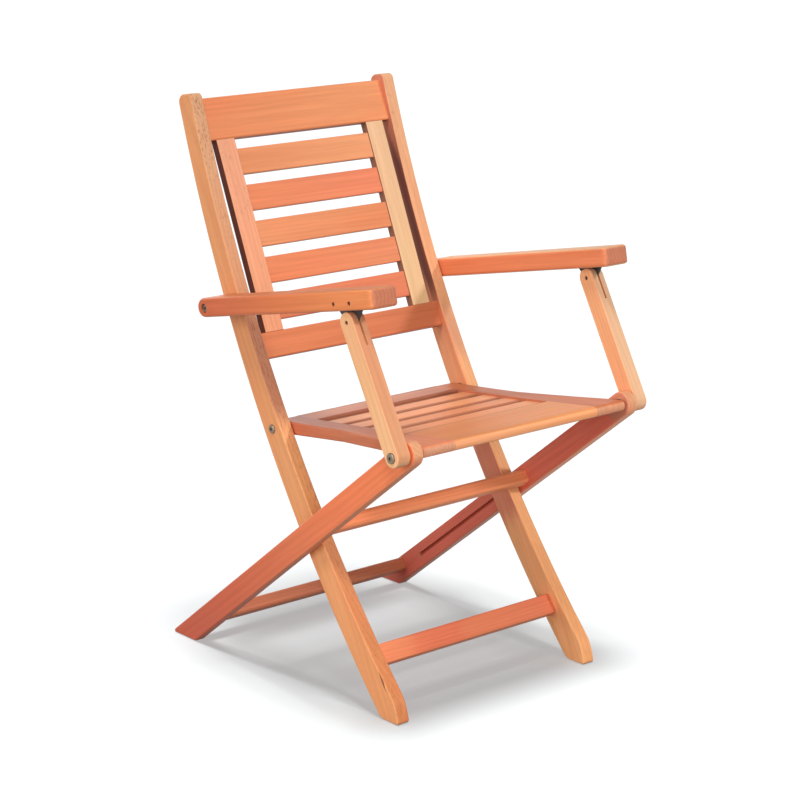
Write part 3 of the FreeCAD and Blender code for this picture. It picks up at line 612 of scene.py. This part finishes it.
# %% [markdown]
# ## Tones of the arms and their posts
# The right arm is red and the left one tan on top. The posts that carry them are pale, like the left slat
# post, as if all three came from one plank. The first tone of an arm is its rear end.

# %% Arms and posts
ARM_SLOPE = 11.95
POST_LEAN = 29.5
along_arm = side_board(ARM_SLOPE - 90)
along_post = side_board(POST_LEAN)

BOARDS["right_armrest"] = (
    along_arm, ((0.619, 0.14, 0.057), (0.845, 0.273, 0.095)),
    ((0.64, 0.177, 0.063), (0.66, 0.226, 0.094)), (0.59, 0.204, 0.108),
)
BOARDS["left_armrest"] = (
    along_arm, ((0.81, 0.253, 0.112), (0.78, 0.242, 0.107)),
    ((0.84, 0.41, 0.178), (0.71, 0.365, 0.175)), (0.58, 0.20, 0.11),
)
BOARDS["right_arm_post"] = (
    along_post, ((0.945, 0.517, 0.259), (0.925, 0.495, 0.245)),
    ((0.757, 0.344, 0.17), (0.737, 0.314, 0.156)), (0.70, 0.38, 0.20),
)
BOARDS["left_arm_post"] = (
    along_post, ((0.958, 0.466, 0.233), (0.928, 0.455, 0.223)),
    ((0.80, 0.472, 0.27), (0.795, 0.455, 0.262)), (0.72, 0.36, 0.18),
)
print("boards in all:", len(BOARDS))

# %% [markdown]
# ## Pores, marks and painted shade of each board
# The stiles and posts have the deepest pores. The left stile has painted shade in the narrow slot beside its
# slat post, where little light gets in, a painted shadow of its arm above the seat and a painted shadow of
# the seat and mid stretcher below it. The right stile has a short split at its foot, a painted shadow of its
# arm above the seat and painted light on a stretch below it, which the lamps of this scene would leave too
# dark.
# The left leg has a pale head, and the front stretcher is redder in one place.

# %% Pores and marks of the boards
PLAIN_PORES = 0.25
PORE_DEPTHS = {
    "right_stile": 0.9, "left_stile": 0.6,
    "right_slat_post": 0.55, "left_slat_post": 0.5, "right_arm_post": 0.5,
}
MARKS_AND_PAINTED_SHADE = {
    "left_stile": [
        # Painted shade in the narrow slot beside the left slat post.
        ("first", (0.186, 0.2016, 0.672), (0.006, 0.09, 0.165), (0.30, 0.24, 0.28)),
        # Painted shadow of the left arm on the stile above the seat.
        ("second", (0.197, 0.060, 0.500), (0.05, 0.05, 0.085), (0.78, 0.74, 0.84)),
        # Painted shadow of the seat and the mid stretcher on the stile below the seat.
        ("first", (0.186, -0.034, 0.272), (0.02, 0.07, 0.095), (0.80, 0.60, 0.76)),
    ],
    "right_stile": [
        ("first", (-0.2092, -0.2048, 0.0651), (0.010, 0.003, 0.024), (0.38, 0.30, 0.26)),
        # Painted shadow of the right arm on the stile above the seat.
        ("second", (-0.197, 0.083, 0.500), (0.05, 0.05, 0.100), (0.76, 0.66, 0.70)),
        # Painted light below the seat, where the lamps of this scene leave the front face in shadow.
        ("second", (-0.197, -0.006, 0.340), (0.05, 0.05, 0.105), (1.42, 1.48, 1.40)),
    ],
    "left_leg": [("first", (0.2122, -0.278, 0.4375), (0.02, 0.034, 0.034), (0.80, 1.30, 1.25))],
    "front_stretcher": [("first", (-0.06, -0.16, 0.08), (0.30, 0.30, 0.060), (1.0, 0.84, 0.88))],
}
print("marks:", sum(len(marks) for marks in MARKS_AND_PAINTED_SHADE.values()))

# %% [markdown]
# ## Edges of the seat slats
# The rims of the narrow seat slats' tops are painted darker, as painted shade for the gaps between the slats.
# The rim is one more mark, as long as the slat, and its place is measured from the slat itself.

# %% Rims of the seat slats
RIM_SHADE_TINT = (0.62, 0.50, 0.45)
RIM_REACH = (0.007, 0.02, 0.6)
for number in range(1, len(SLAT_TOPS) + 1):
    name = f"seat_slat_{number}"
    low, high = board_box(nodes[name], in_seat)
    middle = (low + high) / 2
    rims = [in_seat.transposed() @ Vector((across, high.y, middle.z)) for across in (low.x, high.x)]
    MARKS_AND_PAINTED_SHADE[name] = [("second", rim, RIM_REACH, RIM_SHADE_TINT) for rim in rims]
print("seat slats with dark rims:", len(SLAT_TOPS))

# %% [markdown]
# ## Dressing the boards
# Every board comes from another part of the tree. The heart lies a few centimetres beside it, and going
# round by the golden angle puts it on another side for each board, with no chance involved, so the chair
# looks the same each time. A shift gives each board its own piece of the noise. The seat rails were sawn
# close to the heart, so theirs are given.

# %% Dress the boards
GOLDEN_ANGLE = 2.4
HEART_DEPTH = 0.034
HEART_SLIDE = 0.2
PATTERN_STEP = (0.37, 0.61, 1.7)
HEARTS = {"right_seat_rail": (0.004, 0.010), "left_seat_rail": (-0.004, 0.010)}
for index, (name, (directions, *tones)) in enumerate(sorted(BOARDS.items())):
    shift = tuple(step * index for step in PATTERN_STEP)
    low, high = board_box(nodes[name], directions)
    turn = GOLDEN_ANGLE * index
    beside = HEARTS.get(name, (HEART_DEPTH * math.cos(turn), HEART_DEPTH * math.sin(turn)))
    heart = (low + high) / 2 + Vector((*beside, HEART_SLIDE * math.sin(turn)))
    finish = oiled_wood(
        f"{name}_wood", tones, directions, (low.z, high.z), heart, shift,
        PORE_DEPTHS.get(name, PLAIN_PORES), MARKS_AND_PAINTED_SHADE.get(name, ()),
    )
    nodes[name].data.materials.clear()
    nodes[name].data.materials.append(finish)
print("boards dressed:", len(BOARDS))

# %% [markdown]
# ## Steel
# The bolts and washers are plated steel that has gone a dull bronze outdoors. The hinge plates are painted
# black and their pins are blackened. One fine mottle serves both: it changes the colour a little, and it
# makes the gloss uneven, as worn plating and thin paint are.

# %% Steel
MOTTLES_PER_METRE = 900.0
WORN_SHARE = 0.8


def steel(name, colour, metallic, smooth, rough):
    """Finish of a steel piece, with a gloss between smooth and rough."""
    material = blank_material(name)
    tree = material.node_tree
    place = tree.nodes.new("ShaderNodeTexCoord").outputs["Object"]
    mottle = add_node(
        tree, "ShaderNodeTexNoise", Vector=place, Scale=MOTTLES_PER_METRE, Detail=3.0, Roughness=0.6
    ).outputs["Fac"]
    worn = [WORN_SHARE * value for value in colour]
    tint = mix_colour(tree, ramp(tree, mottle, 0.35, 0.65), (*colour, 1.0), (*worn, 1.0))
    gloss = ramp(tree, mottle, 0.3, 0.7, smooth, rough)
    shader = add_node(
        tree, "ShaderNodeBsdfPrincipled", Base_Color=tint, Metallic=metallic, Roughness=gloss
    )
    add_node(tree, "ShaderNodeOutputMaterial", Surface=shader.outputs[0])
    return material


plated = steel("plated_steel", (0.25, 0.19, 0.14), 1.0, 0.25, 0.42)
blackened = steel("blackened_steel", (0.035, 0.033, 0.032), 0.0, 0.38, 0.60)
for name, node in nodes.items():
    if name in BOARDS:
        continue
    node.data.materials.clear()
    dark_piece = name.endswith(("hinge_plate", "plate_pins", "hinge_pin"))
    node.data.materials.append(blackened if dark_piece else plated)
print("steel pieces dressed:", len(nodes) - len(BOARDS))
